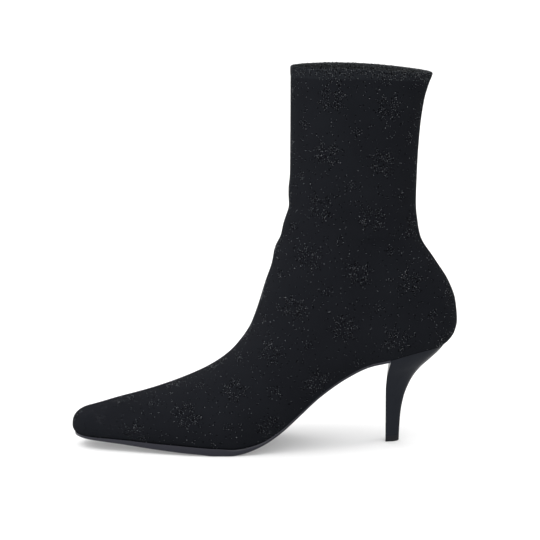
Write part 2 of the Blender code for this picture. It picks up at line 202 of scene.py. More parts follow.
# Underside of the sole, and the seat above the heel.
# lift: share of the heel height. thick: share of the sole's full thickness.
# edge: how far the sole stands out past the upper, as a share of its edge at the ball.
SOLE_LINE = table("along lift thick edge", [
    (0.0000, 0.1170, 0.32, 0.3),
    (0.0556, 0.0995, 0.42, 0.7),
    (0.1230, 0.0800, 0.59, 1.0),
    (0.2262, 0.0410, 0.82, 1.0),
    (0.2800, 0.0245, 0.93, 1.0),
    (0.3300, 0.0110, 0.94, 1.0),
    (0.3600, 0.0000, 1.00, 1.0),
    (0.4050, 0.0000, 0.87, 1.0),
    (0.4360, 0.0173, 0.74, 1.0),
    (0.4563, 0.0405, 0.64, 0.9),
    (0.4921, 0.1005, 0.46, 0.8),
    (0.5317, 0.1950, 0.43, 0.6),
    (0.5853, 0.3700, 0.40, 0.4),
    (0.6369, 0.5440, 0.36, 0.2),
    (0.7143, 0.7470, 0.35, 0.1),
    (0.7659, 0.8400, 0.35, 0.0),
    (0.8175, 0.8870, 0.35, 0.0),
    (0.8651, 0.9380, 0.35, 0.0),
    (0.9127, 0.9710, 0.35, 0.0),
    (1.0000, 0.9950, 0.35, 0.0),
])

# Plan of the foot: half widths of the upper and of the sole line, as shares of the ball width.
# crown: power of the arch over the foot, lower where the ridge is sharper.
# ridge: how far the ridge leans to the inner side.
FOOT_PLAN = table("along upper_out upper_in sole_out sole_in crown ridge", [
    (0.000, 0.155, 0.155, 0.136, 0.136, 2.9, 0.000),
    (0.056, 0.228, 0.233, 0.202, 0.207, 2.2, 0.004),
    (0.123, 0.298, 0.311, 0.270, 0.282, 2.1, 0.010),
    (0.214, 0.389, 0.412, 0.358, 0.378, 2.0, 0.020),
    (0.317, 0.474, 0.498, 0.440, 0.456, 1.9, 0.032),
    (0.400, 0.500, 0.490, 0.466, 0.448, 1.8, 0.040),
    (0.480, 0.482, 0.451, 0.443, 0.396, 1.8, 0.040),
    (0.560, 0.446, 0.407, 0.389, 0.339, 1.9, 0.030),
    (0.659, 0.404, 0.370, 0.324, 0.282, 2.0, 0.015),
    (0.770, 0.381, 0.363, 0.306, 0.280, 2.0, 0.005),
    (0.877, 0.376, 0.373, 0.329, 0.321, 2.0, 0.000),
    (1.000, 0.376, 0.373, 0.329, 0.321, 2.0, 0.000),
])

# Rings of the upper, from the sole line to the rim.
# front, back: share of the front and back line's length. follow: how far the ring keeps to the
# curve of the sole. leg: share of the oval leg section. width: the leg's half width by ball width.
# arch: how far the ring rises between front and back, by collar height.
RINGS = table("front back follow leg width arch", [
    (0.000, 0.000, 1.00, 0.00, 0.400, 0.000),
    (0.035, 0.030, 0.96, 0.00, 0.400, 0.000),
    (0.070, 0.060, 0.91, 0.00, 0.400, 0.000),
    (0.100, 0.090, 0.85, 0.00, 0.400, 0.000),
    (0.180, 0.150, 0.70, 0.03, 0.402, 0.000),
    (0.265, 0.205, 0.54, 0.10, 0.404, 0.000),
    (0.345, 0.265, 0.39, 0.22, 0.406, 0.000),
    (0.410, 0.335, 0.26, 0.38, 0.408, 0.000),
    (0.470, 0.400, 0.15, 0.56, 0.408, 0.000),
    (0.550, 0.470, 0.06, 0.75, 0.406, 0.000),
    (0.635, 0.550, 0.01, 0.92, 0.404, 0.000),
    (0.700, 0.620, 0.00, 1.00, 0.400, 0.000),
    (0.780, 0.710, 0.00, 1.00, 0.390, 0.001),
    (0.885, 0.850, 0.00, 1.00, 0.368, 0.0035),
    (1.000, 1.000, 0.00, 1.00, 0.335, 0.007),
])

# The heel from its seat down to the top lift.
# down: share of the way from the seat to the floor. back: x of the back, by boot length.
# half: half width by ball width. seat: how far a ring keeps to the curve of the seat.
# breast: how far the front face has come forward, as a share of its sweep.
HEEL_LINE = table("down back half seat breast", [
    (0.00, 0.9686, 0.329, 1.00, 0.00),
    (0.03, 0.9630, 0.318, 0.98, 0.00),
    (0.07, 0.9535, 0.300, 0.93, 0.40),
    (0.15, 0.9310, 0.258, 0.80, 0.78),
    (0.23, 0.9080, 0.212, 0.62, 0.96),
    (0.32, 0.8890, 0.168, 0.42, 1.00),
    (0.42, 0.8750, 0.130, 0.22, 0.93),
    (0.54, 0.8637, 0.101, 0.08, 0.77),
    (0.70, 0.8560, 0.080, 0.00, 0.60),
    (0.85, 0.8530, 0.069, 0.00, 0.50),
    (1.00, 0.8515, 0.064, 0.00, 0.45),
])

# Soft creases of the knit in side view. along, up: their middle, by boot length and collar height.
# reach, width: half length and half width. depth: above 0 a trough, below 0 a ridge.
# lean: degrees up from +X. side: -1 outer, 1 inner, 0 both.
CREASES = table("along up reach width depth lean side", [
    (0.770, 0.556, 0.0125, 0.0020, 0.00080, -3, -1),
    (0.772, 0.573, 0.0150, 0.0028, -0.00045, -2, -1),
    (0.735, 0.548, 0.0140, 0.0026, 0.00050, 6, 1),
    (0.563, 0.684, 0.0160, 0.0055, -0.00050, 12, 0),
    (0.562, 0.636, 0.0170, 0.0042, 0.00070, 14, 0),
    (0.550, 0.596, 0.0190, 0.0050, -0.00035, 12, 0),
    (0.540, 0.557, 0.0190, 0.0042, 0.00075, 10, 0),
    (0.526, 0.522, 0.0150, 0.0045, -0.00055, 12, 0),
    (0.514, 0.478, 0.0150, 0.0050, 0.00040, 16, 0),
    (0.902, 0.551, 0.0130, 0.0050, 0.00065, -18, 0),
    (0.893, 0.590, 0.0150, 0.0060, -0.00030, -12, 0),
    (0.455, 0.310, 0.0160, 0.0060, 0.00040, 24, 0),
])

# Profile of the hem's outside, from its lower edge. up: share of its depth. out: share of its step.
HEM_PROFILE = table("up out", [
    (0.000, 0.00),
    (0.060, 0.15),
    (0.120, 0.38),
    (0.200, 0.64),
    (0.300, 0.85),
    (0.420, 1.00),
    (0.560, 1.05),
    (0.700, 1.05),
])

# Roundings of the sole's edge in metres, along the boot. Its top is bevelled from the ball to the arch.
EDGE_ROUND = table("along top low", [
    (0.00, 0.00015, 0.00040),
    (0.12, 0.00015, 0.00080),
    (0.38, 0.00015, 0.00090),
    (0.42, 0.00120, 0.00090),
    (0.50, 0.00120, 0.00060),
    (0.58, 0.00090, 0.00060),
    (0.70, 0.00030, 0.00060),
    (1.00, 0.00020, 0.00060),
])

# One quarter of the eight-petalled star, stitch by stitch, from its tip down to its middle row.
STAR_QUARTER = (
    "....#....",
    "...##....",
    "..###....",
    ".####....",
    ".###.####",
    ".##.####.",
    ".#.####..",
    "..####...",
    ".........",
)


# Curves of the boot

def smooth(at, xs, ys):
    """Monotone cubic through the points (xs, ys), held at its ends."""
    at = np.clip(np.asarray(at, float), xs[0], xs[-1])
    step = np.diff(xs)
    slope = np.diff(ys) / step
    grade = np.empty_like(ys)
    grade[0], grade[-1] = slope[0], slope[-1]
    same_way = slope[:-1] * slope[1:] > 0
    before, after = 2 * step[1:] + step[:-1], step[1:] + 2 * step[:-1]
    with np.errstate(divide="ignore", invalid="ignore"):
        mean = (before + after) / (before / slope[:-1] + after / slope[1:])
    grade[1:-1] = np.where(same_way, mean, 0.0)
    i = np.clip(np.searchsorted(xs, at, side="right") - 1, 0, len(step) - 1)
    t = (at - xs[i]) / step[i]
    rise = ys[i] * (1 + 2 * t) * (1 - t) ** 2 + ys[i + 1] * t * t * (3 - 2 * t)
    return rise + step[i] * (grade[i] * t * (1 - t) ** 2 + grade[i + 1] * t * t * (t - 1))


def lengthwise(along):
    """x of a share of the boot's length from the toe."""
    return (np.asarray(along) - 0.5) * BOOT_LENGTH


def station(x):
    """Share of the boot's length from the toe."""
    return np.asarray(x) / BOOT_LENGTH + 0.5


def length_run(points):
    """Length of a polyline from its start to each of its points."""
    steps = np.linalg.norm(np.diff(points, axis=0), axis=1)
    return np.concatenate([[0.0], np.cumsum(steps)])


def along_path(points, share):
    """The points at shares of a polyline's length."""
    run = length_run(points)
    return np.array([np.interp(share, run / run[-1], axis) for axis in points.T])


def spline_path(xs, zs):
    """A smooth curve through points in side view, as a fine polyline."""
    run = length_run(np.column_stack([xs, zs]))
    at = np.linspace(0.0, run[-1], PATH_POINTS)
    return np.column_stack([smooth(at, run, xs), smooth(at, run, zs)])


def tread(x):
    """Underside of the sole."""
    return HEEL_HEIGHT * smooth(station(x), SOLE_LINE.along, SOLE_LINE.lift)


def sole_top(x):
    """Sole line, where the upper meets the sole."""
    return tread(x) + SOLE_THICKNESS * smooth(station(x), SOLE_LINE.along, SOLE_LINE.thick)


RIDGE_PATH = spline_path(lengthwise(FRONT_LINE.along), COLLAR_HEIGHT * FRONT_LINE.up)
BACK_PATH = spline_path(lengthwise(BACK_LINE.along), COLLAR_HEIGHT * BACK_LINE.up)
TOE = -BOOT_LENGTH / 2
ANKLE_BEND = lengthwise(FRONT_LINE.along[BEND_ROW])
BEND_TOP = COLLAR_HEIGHT * FRONT_LINE.up[BEND_ROW]


def ridge(x):
    """Top of the foot's upright sections. Behind the ankle bend it eases to a gentle rise."""
    ahead = np.interp(x, RIDGE_PATH[:, 0], RIDGE_PATH[:, 1])
    past = np.clip(x - ANKLE_BEND, 0, None)
    eased = (BEND_SLOPE - LEG_SLOPE) * BEND_EASE * (1 - np.exp(-past / BEND_EASE))
    return np.where(past > 0, BEND_TOP + LEG_SLOPE * past + eased, ahead)


def back(z):
    """x of the back of the boot at a height."""
    return np.interp(z, BACK_PATH[:, 1], BACK_PATH[:, 0])


def plan(x, column):
    """One of the foot's measures in plan."""
    return BALL_WIDTH * smooth(station(x), FOOT_PLAN.along, getattr(FOOT_PLAN, column))


def tuck(height):
    """1 at the sole line, easing to 0 at the widest line."""
    return np.clip(1 - height / WIDEST, 0, 1) ** 2


def foot_half(x, z, side):
    """Half width of the foot at a point of the side view, from the ridge's own line."""
    height = np.clip((z - sole_top(x)) / (ridge(x) - sole_top(x)), 0, 1)
    lean = plan(x, "ridge") * (1 if side == "out" else -1)
    widest, sole = plan(x, "upper_" + side), plan(x, "sole_" + side)
    full = widest + (sole - widest) * tuck(height) + lean
    crown = np.clip((height - WIDEST) / (1 - WIDEST), 0, 1)
    toe = np.clip(1 - (x - TOE - TOE_TUCK * tuck(height)) / TOE_ROUND, 0, 1)
    heel = np.clip(1 - (back(z) - x) / HEEL_ROUND, 0, 1)
    crown_power = smooth(station(x), FOOT_PLAN.along, FOOT_PLAN.crown)
    left = 1 - crown ** crown_power - toe ** TOE_POWER - heel ** HEEL_POWER
    return full * np.sqrt(np.clip(left, 0, 1))


def front_path():
    """Front of the boot in side view: toe wall, rounded toe, ridge and shin, as one polyline."""
    low = np.linspace(0, WIDEST, TOE_WALL_POINTS)
    wall_x = TOE + TOE_TUCK * tuck(low)
    turn = np.linspace(0, math.pi / 2, TOE_TURN_POINTS)[1:]
    toe_x = TOE + (1 - np.cos(turn) ** (2 / TOE_POWER)) * TOE_ROUND
    crown_power = smooth(station(toe_x), FOOT_PLAN.along, FOOT_PLAN.crown)
    high = WIDEST + (1 - WIDEST) * np.sin(turn) ** (2 / crown_power)
    xs = np.concatenate([wall_x, toe_x])
    heights = np.concatenate([low, high])
    zs = sole_top(xs) + heights * (ridge(xs) - sole_top(xs))
    rest = RIDGE_PATH[RIDGE_PATH[:, 0] > TOE + TOE_ROUND]
    return np.vstack([np.column_stack([xs, zs]), rest])


FRONT_PATH = front_path()
FRONT_RUN = length_run(FRONT_PATH)[-1]
SOLE_FRONT, SOLE_BACK = FRONT_PATH[0], BACK_PATH[0]
HEM_LEVEL = 1 - HEM_DEPTH / FRONT_RUN


def ring_sides(level, shares):
    """Outer and inner side of one ring of the upper, each an array of points from toe to heel.

    level is the share of the front line's length where the ring starts.
    """
    column = {name: smooth(level, RINGS.front, getattr(RINGS, name))
              for name in ("back", "follow", "leg", "width", "arch")}
    start, end = along_path(FRONT_PATH, level), along_path(BACK_PATH, column["back"])
    x = start[0] + (end[0] - start[0]) * shares
    sole_x = SOLE_FRONT[0] + (SOLE_BACK[0] - SOLE_FRONT[0]) * shares
    sole_chord = SOLE_FRONT[1] + (SOLE_BACK[1] - SOLE_FRONT[1]) * shares
    bow = sole_top(sole_x) - sole_chord
    z = start[1] + (end[1] - start[1]) * shares + column["follow"] * bow
    z = z + COLLAR_HEIGHT * column["arch"] * np.sin(math.pi * shares)
    oval = (1 - np.abs(2 * shares - 1) ** LEG_POWER) ** (1 / LEG_POWER)
    leg = column["leg"]
    centre = plan(x, "ridge") * (1 - leg)
    sides = []
    for side, sign in (("out", -1), ("in", 1)):
        half = (1 - leg) * foot_half(x, z, side) + leg * column["width"] * BALL_WIDTH * oval
        half[[0, -1]] = 0.0
        sides.append(np.column_stack([x, centre + sign * half, z]))
    return sides


def even_steps(points, count):
    """Points at equal steps along a polyline."""
    return along_path(points, np.linspace(0, 1, count)).T


# Surface of the upper

def ring(level, half):
    """A ring from the back along the inner side to the toe and along the outer side to the back."""
    outer, inner = ring_sides(level, DENSE)
    return np.vstack([even_steps(inner[::-1], half + 1), even_steps(outer, half + 1)[1:]])


def outward_normals(grid, levels):
    """Outward normals of rings whose first and last points are the same."""
    ends = np.concatenate([grid[:, -2:-1], grid, grid[:, 1:2]], axis=1)
    around = ends[:, 2:] - ends[:, :-2]
    upward = np.gradient(grid, levels, axis=0)
    normal = np.cross(around, upward)
    return normal / np.linalg.norm(normal, axis=2, keepdims=True)


def crease_depth(points):
    """How far the creases draw the knit in at each point."""
    depth = np.zeros(points.shape[:-1])
    outer = 1 / (1 + np.exp(points[..., 1] / CREASE_FADE))
    for along, up, reach, width, deep, lean, side in zip(*vars(CREASES).values()):
        dx = points[..., 0] - lengthwise(along)
        dz = points[..., 2] - COLLAR_HEIGHT * up
        turn = math.radians(lean)
        lengthways = dx * math.cos(turn) + dz * math.sin(turn)
        across = dz * math.cos(turn) - dx * math.sin(turn)
        share = {-1: outer, 0: 1.0, 1: 1 - outer}[int(side)]
        depth += share * deep * np.exp(-(lengthways / reach) ** 2 - (across / width) ** 2)
    return depth


def upper_surface(levels):
    """Points and outward normals of the upper's creased skin at these levels."""
    grid = np.array([ring(level, RING_HALF) for level in levels])
    normal = outward_normals(grid, levels)
    grid = grid - crease_depth(grid)[..., None] * normal
    return grid, outward_normals(grid, levels)


def flat_pattern():
    """The knit laid out flat, cut along the back: metres across and up for a coarse grid of the skin."""
    levels = np.linspace(0, 1, FLAT_ROWS)
    grid = np.array([ring(level, RING_HALF // FLAT_STEP) for level in levels])
    rows, columns = grid.shape[:2]
    mesh = bpy.data.meshes.new("pattern")
    mesh.from_pydata(grid.reshape(-1, 3).tolist(), [], grid_faces(rows, columns).tolist())
    mesh.uv_layers.new(name="flat")
    sheet = bpy.data.objects.new("pattern", mesh)
    bpy.context.scene.collection.objects.link(sheet)
    bpy.context.view_layer.objects.active = sheet
    bpy.ops.object.mode_set(mode="EDIT")
    bpy.ops.mesh.select_all(action="SELECT")
    bpy.ops.uv.unwrap(method="MINIMUM_STRETCH", margin=0.0)
    bpy.ops.object.mode_set(mode="OBJECT")
    corners = np.empty(len(mesh.loops) * 2)
    mesh.uv_layers[0].data.foreach_get("uv", corners)
    owner = np.empty(len(mesh.loops), int)
    mesh.loops.foreach_get("vertex_index", owner)
    flat = np.empty((rows * columns, 2))
    flat[owner] = corners.reshape(-1, 2)
    flat = flat.reshape(rows, columns, 2)
    bpy.data.objects.remove(sheet)
    bpy.data.meshes.remove(mesh)
    return levels, turned_upright(flat, grid)


def turned_upright(flat, grid):
    """The flat pattern at its real size, with the leg upright and the front line on zero."""
    middle = flat.shape[1] // 2
    up = flat[-1, middle] - flat[-FLAT_LEG, middle]
    real = length_run(grid[-FLAT_LEG:, middle])[-1]
    upright = up / np.linalg.norm(up)
    across = np.array([upright[1], -upright[0]])
    scale = real / np.linalg.norm(up)
    start = flat[-1, middle]
    return np.stack([(flat - start) @ across, (flat - start) @ upright], axis=-1) * scale


def flat_at(pattern, levels):
    """The flat pattern at finer levels and at every column of the skin."""
    coarse_levels, flat = pattern
    columns = np.linspace(0, flat.shape[1] - 1, 2 * RING_HALF + 1)
    at = np.interp(levels, coarse_levels, np.arange(len(coarse_levels)))
    row = np.minimum(at.astype(int), len(coarse_levels) - 2)
    along = (at - row)[:, None, None]
    rows = flat[row] * (1 - along) + flat[row + 1] * along
    column = np.minimum(columns.astype(int), flat.shape[1] - 2)
    part = (columns - column)[None, :, None]
    return rows[:, column] * (1 - part) + rows[:, column + 1] * part


# Meshes

def quad_corners(grid):
    """The four corners of every quad of a grid, in turn."""
    return grid[:-1, :-1], grid[:-1, 1:], grid[1:, 1:], grid[1:, :-1]


def grid_faces(rows, columns):
    """Quads of a grid of points."""
    index = np.arange(rows * columns).reshape(rows, columns)
    return np.stack(quad_corners(index), axis=-1).reshape(-1, 4)


def tube_faces(rows, size, closed=False):
    """Quads between rows of closed loops, and from the last row to the first one where closed."""
    index = np.arange(rows * size).reshape(rows, size)
    index = np.hstack([index, index[:, :1]])
    if closed:
        index = np.vstack([index, index[:1]])
    return np.stack(quad_corners(index), axis=-1).reshape(-1, 4)


def ladder_faces(base, size, tip_at_end):
    """A cap between the two sides of a loop that starts at a tip."""
    faces = [(base, base + 1, base + size - 1)]
    left, right = 1, size - 1
    while right - left > 2:
        faces.append((base + left, base + left + 1, base + right - 1, base + right))
        left, right = left + 1, right - 1
    if tip_at_end:
        faces.append((base + left, base + left + 1, base + right))
    return faces


def make_piece(name, points, faces, materials, nodes=(), sharp=SHARP):
    """An object of the boot, smooth but for edges sharper than an angle in degrees."""
    mesh = bpy.data.meshes.new(name)
    mesh.from_pydata(np.asarray(points).tolist(), [], [tuple(face) for face in faces])
    mesh.shade_smooth()
    mesh.set_sharp_from_angle(angle=math.radians(sharp))
    for material in materials:
        mesh.materials.append(material)
    piece = bpy.data.objects.new(name, mesh)
    bpy.context.scene.collection.objects.link(piece)
    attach(piece, "root")
    if nodes:
        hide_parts(*nodes)
    return piece


def stacked(name, loops, materials, node, tip_at_end):
    """A closed piece through loops laid on each other from the top down, with a cap at each end."""
    size = len(loops[0])
    top = ladder_faces(0, size, tip_at_end)
    base = ladder_faces((len(loops) - 1) * size, size, tip_at_end)
    sides = tube_faces(len(loops), size)[:, ::-1]
    faces = [*sides.tolist(), *top, *[face[::-1] for face in base]]
    return make_piece(name, np.vstack(loops), faces, materials, (node,))


def plan_outward(loop):
    """The way outward in plan at each point of a loop that runs anticlockwise from above."""
    step = np.roll(loop, -1, axis=0) - np.roll(loop, 1, axis=0)
    outward = np.column_stack([step[:, 1], -step[:, 0]])
    return outward / np.linalg.norm(outward, axis=1, keepdims=True)


def at_height(outline, heights):
    """Points of an outline in plan, set at heights."""
    return np.column_stack([outline, np.broadcast_to(heights, len(outline))])


def grains(name, places, lengthways, normals, size, materials):
    """Many small closed grains lying on a surface, as one mesh: eight faces each.

    size has each grain's length, width and height.
    """
    sideways = np.cross(lengthways, normals)
    length, width, height = (column[:, None] / 2 for column in size.T)
    tips = [lengthways * length, sideways * width, -lengthways * length, -sideways * width,
            normals * height, -normals * height]
    points = np.stack([places + tip for tip in tips], axis=1)
    around, top, base = (0, 1, 2, 3), 4, 5
    faces = []
    for side, after in zip(around, around[1:] + around[:1]):
        faces.append((after, side, top))
        faces.append((side, after, base))
    offsets = len(tips) * np.arange(len(places))[:, None, None]
    faces = (np.array(faces) + offsets).reshape(-1, 3)
    return make_piece(name, points.reshape(-1, 3), faces.tolist(), materials, sharp=NEVER_SHARP)


# Materials

def principled(name, **values):
    """A material, its node tree and its shader, with constant values on the shader's own sockets."""
    material = bpy.data.materials.new(name)
    material.use_nodes = True
    shader = material.node_tree.nodes["Principled BSDF"]
    for socket, value in values.items():
        shader.inputs[socket.replace("_", " ")].default_value = value
    return material, material.node_tree, shader


def calc(tree, operation, *values):
    """The result of one Math node, from sockets or numbers."""
    node = tree.nodes.new("ShaderNodeMath")
    node.operation = operation
    for socket, value in zip(node.inputs, values):
        if isinstance(value, bpy.types.NodeSocket):
            tree.links.new(value, socket)
        else:
            socket.default_value = value
    return node.outputs[0]


def noise(tree, cells, detail=3.0):
    """Noise in the boot's own coordinates, with so many cells to a metre."""
    place = tree.nodes.new("ShaderNodeTexCoord")
    node = tree.nodes.new("ShaderNodeTexNoise")
    node.inputs["Scale"].default_value = cells
    node.inputs["Detail"].default_value = detail
    tree.links.new(place.outputs["Object"], node.inputs["Vector"])
    return node.outputs["Fac"]


def contrast(tree, share, gain):
    """A share spread out about its middle and held between 0 and 1."""
    spread = calc(tree, "MULTIPLY", calc(tree, "SUBTRACT", share, 0.5), gain)
    return calc(tree, "MINIMUM", calc(tree, "MAXIMUM", calc(tree, "ADD", spread, 0.5), 0.0), 1.0)


def mixed(tree, first, second, share):
    """Two values mixed, with this share of the second."""
    return calc(tree, "ADD", calc(tree, "MULTIPLY", first, 1 - share), calc(tree, "MULTIPLY", second, share))


def bump(tree, shader, height, strength, depth):
    """Relief from a height between 0 and 1, of a depth in metres."""
    node = tree.nodes.new("ShaderNodeBump")
    node.inputs["Strength"].default_value = strength
    node.inputs["Distance"].default_value = depth
    tree.links.new(height, node.inputs["Height"])
    tree.links.new(node.outputs["Normal"], shader.inputs["Normal"])


def shades(tree, shader, share, dark, light):
    """Base colour from dark to light by a share."""
    node = tree.nodes.new("ShaderNodeMix")
    node.data_type = "RGBA"
    colour_sockets = [socket for socket in node.inputs if socket.type == "RGBA"]
    colour_sockets[0].default_value = (*dark, 1.0)
    colour_sockets[1].default_value = (*light, 1.0)
    tree.links.new(share, node.inputs["Factor"])
    result = next(socket for socket in node.outputs if socket.type == "RGBA")
    tree.links.new(result, shader.inputs["Base Color"])


def knit_height(tree, wale, course, slant):
    """Height of a plain knit in its flat pattern: each stitch is a V of two slanted legs."""
    uv = tree.nodes.new("ShaderNodeUVMap")
    uv.uv_map = "knit"
    split = tree.nodes.new("ShaderNodeSeparateXYZ")
    tree.links.new(uv.outputs["UV"], split.inputs[0])
    in_wale = calc(tree, "FRACT", calc(tree, "DIVIDE", split.outputs["X"], wale))
    from_middle = calc(tree, "ABSOLUTE", calc(tree, "SUBTRACT", in_wale, 0.5))
    courses = calc(tree, "DIVIDE", split.outputs["Y"], course)
    slanted = calc(tree, "SUBTRACT", courses, calc(tree, "MULTIPLY", from_middle, 2 * slant))
    along_leg = calc(tree, "SINE", calc(tree, "MULTIPLY", calc(tree, "FRACT", slanted), math.pi))
    across_leg = calc(tree, "SINE", calc(tree, "MULTIPLY", from_middle, 2 * math.pi))
    return calc(tree, "MULTIPLY", calc(tree, "SQRT", along_leg), across_leg)


def knit_material():
    material, tree, shader = principled("knit", Roughness=0.92, Specular_IOR_Level=0.02)
    height = knit_height(tree, WALE, COURSE, LEG_SLANT)
    fuzz = noise(tree, cells=2600, detail=2.0)
    patches = noise(tree, cells=46, detail=4.0)
    # The base colour is darker in the grooves between the stitches' legs, a painted shade, and is mixed with
    # larger patches of tone that differ at random.
    share = mixed(tree, height, patches, share=0.45)
    shades(tree, shader, share, dark=(0.0038, 0.0042, 0.0055), light=(0.0102, 0.0113, 0.0138))
    relief = calc(tree, "ADD", height, calc(tree, "MULTIPLY", fuzz, KNIT_FUZZ))
    bump(tree, shader, relief, strength=0.55, depth=0.00030)
    return material


def lining_material():
    material, tree, shader = principled("lining", Roughness=0.85, Specular_IOR_Level=0.05)
    height = knit_height(tree, LINING_STITCH, LINING_STITCH, LINING_SLANT)
    # The base colour is darker in the grooves between the stitches' legs: painted shade.
    shades(tree, shader, height, dark=(0.0110, 0.0115, 0.0125), light=(0.0230, 0.0236, 0.0250))
    bump(tree, shader, height, strength=0.35, depth=0.00012)
    return material


# Materials with a plain grain. dark, light: linear colours. cells, detail: of the grain's noise.
# strength, depth: of its relief. patches: cells of larger patches. patch_share: their share of the colour.
HEM_YARN = dict(roughness=0.92, specular=0.02, cells=900, detail=2.0, strength=0.75, depth=0.00035)
GRAINED = {
    "knit_hem": dict(HEM_YARN, dark=(0.0050, 0.0056, 0.0070), light=(0.0136, 0.0153, 0.0179)),
    # painted light: a lighter copy of the hem's yarn for the hem's inside, for light that does not reach
    # into the rim
    "hem_inside_painted_light": dict(HEM_YARN, dark=(0.0132, 0.0144, 0.0155), light=(0.0400, 0.0430, 0.0448)),
    "sole": dict(roughness=0.18, specular=0.33, cells=500, detail=2.0, strength=0.10, depth=0.00010,
                 dark=(0.0030, 0.0033, 0.0080), light=(0.0064, 0.0069, 0.0150),
                 patches=60, patch_share=0.7),
    "heel_cover": dict(roughness=0.26, specular=0.015, cells=900, detail=3.0, strength=0.06, depth=0.00010,
                       dark=(0.0102, 0.0114, 0.0146), light=(0.0166, 0.0185, 0.0228),
                       patches=45, patch_share=1.0),
    "lift": dict(roughness=0.6, specular=0.15, cells=2200, detail=3.0, strength=0.3, depth=0.00010,
                 dark=(0.0062, 0.0066, 0.0083), light=(0.0109, 0.0116, 0.0143)),
    "insole": dict(roughness=0.55, specular=0.3, cells=800, detail=5.0, strength=0.35, depth=0.00020,
                   dark=(0.010, 0.0095, 0.0095), light=(0.026, 0.025, 0.025)),
}


def grained(name):
    """One of the materials with a plain grain, and with larger patches in its colour where it has them."""
    look = GRAINED[name]
    surface = dict(Roughness=look["roughness"], Specular_IOR_Level=look["specular"])
    material, tree, shader = principled(name, **surface)
    grain = noise(tree, look["cells"], look["detail"])
    share = grain
    if "patches" in look:
        share = mixed(tree, grain, noise(tree, look["patches"]), look["patch_share"])
    shades(tree, shader, share, look["dark"], look["light"])
    bump(tree, shader, grain, look["strength"], look["depth"])
    return material


def uneven(name, cells, gain, dark, light, **values):
    """A thread that is light in some stitches and dark in others."""
    material, tree, shader = principled(name, **values)
    share = contrast(tree, noise(tree, cells, detail=0.0), gain)
    shades(tree, shader, share, dark, light)
    return material


def lurex_material():
    """Metal thread that glints brightly in some stitches and is near black in others, a painted shade for
    the dark gaps among the stitches.
    """
    return uneven("lurex", cells=800, gain=4.0, dark=(0.0015, 0.0016, 0.0022), light=(0.50, 0.515, 0.54),
                  Metallic=0.85, Roughness=0.32)


def thread_material():
    """Yarn of the hem's loops."""
    return uneven("thread", cells=900, gain=3.0, dark=(0.008, 0.009, 0.010), light=(0.190, 0.200, 0.205),
                  Roughness=0.6, Specular_IOR_Level=0.15)


def painted_shade_material():
    """Near-black painted shade for the gaps between the stitches."""
    return principled("painted_shade", Base_Color=(0.0008, 0.0008, 0.0010, 1.0), Roughness=0.95,
                      Specular_IOR_Level=0.0)[0]


def floor_material():
    """A pale table with light behind it."""
    grey = (FLOOR_GREY, FLOOR_GREY, FLOOR_GREY, 1.0)
    return principled("floor", Base_Color=grey, Roughness=0.9, Specular_IOR_Level=0.0,
                      Emission_Color=WHITE, Emission_Strength=FLOOR_GLOW)[0]


# Pieces of the boot

KNIT, LINING, HEM, HEM_INSIDE_PAINTED_LIGHT = range(4)  # materials of the upper, in their order on it


def upper_rows():
    """Rows of the upper's closed wall, up the outside, over the rim and down the lining.

    For each row: its level, how far out of the skin's own form it lies, and the kind of its material.
    """
    skin_levels = np.linspace(0, HEM_LEVEL, SKIN_ROWS)[:-1]
    nap = NAP * np.clip(skin_levels * FRONT_RUN / NAP_RISE, 0, 1)
    hem_up = HEM_DEPTH * HEM_PROFILE.up
    hem_out = NAP + (HEM_STEP - NAP) * HEM_PROFILE.out
    hem_in = -WALL - HEM_STEP * HEM_PROFILE.out
    roll = (WALL + 2 * HEM_STEP) / 2
    turn = np.linspace(0, math.pi, RIM_TURNS)
    roll_up = HEM_DEPTH - roll + roll * np.sin(turn)
    roll_out = -WALL / 2 + roll * np.cos(turn)
    lining_levels = np.linspace(0, HEM_LEVEL, LINING_ROWS)[-2::-1]
    turned_up = np.concatenate([hem_up, roll_up, hem_up[::-1]])
    outside = len(hem_up) + RIM_TURNS // 2
    counts = len(skin_levels), outside, len(turned_up) - outside, len(lining_levels)
    levels = np.concatenate([skin_levels, HEM_LEVEL + turned_up / FRONT_RUN, lining_levels])
    out = np.concatenate([nap, hem_out, roll_out, hem_in[::-1], np.full(len(lining_levels), -WALL)])
    return levels, out, np.repeat([KNIT, HEM, HEM_INSIDE_PAINTED_LIGHT, LINING], counts)


def make_upper(pattern):
    """The sock with its turned hem and lining, as one closed wall.

    Returns the points, normals and flat pattern of its skin, and the same of its hem.
    """
    row_levels, out, kinds = upper_rows()
    levels, at = np.unique(np.round(row_levels, LEVEL_DIGITS), return_inverse=True)
    surface, normal = upper_surface(levels)
    normal = normal[at]
    flat = flat_at(pattern, levels)[at]
    points = surface[at] + out[:, None, None] * normal
    edge = surface[0, :-1]
    points[-1, :-1, :2] = edge[:, :2] - WALL * plan_outward(edge[:, :2])
    points[-1, :-1, 2] = edge[:, 2]
    size = points.shape[1] - 1
    faces = tube_faces(len(kinds), size, closed=True)
    # the hem's inside takes the lighter copy of the hem's yarn, a painted light
    materials = [knit_material(), lining_material(), grained("knit_hem"), grained("hem_inside_painted_light")]
    upper = make_piece("upper_knit", points[:, :-1].reshape(-1, 3), faces, materials,
                       ("upper",), sharp=KNIT_SHARP)
    upper.data.polygons.foreach_set("material_index", np.repeat(kinds, size))
    uv = upper.data.uv_layers.new(name="knit")
    flat_rows = np.vstack([flat, flat[:1]])
    uv.data.foreach_set("uv", np.stack(quad_corners(flat_rows), axis=2).ravel())
    skin_count = np.count_nonzero(kinds == KNIT)
    skin = slice(0, skin_count)
    hem = slice(skin_count - FADE_ROWS, np.count_nonzero(kinds != LINING))
    return (points[skin], normal[skin], flat[skin]), hem_surface(points[hem], flat[hem])


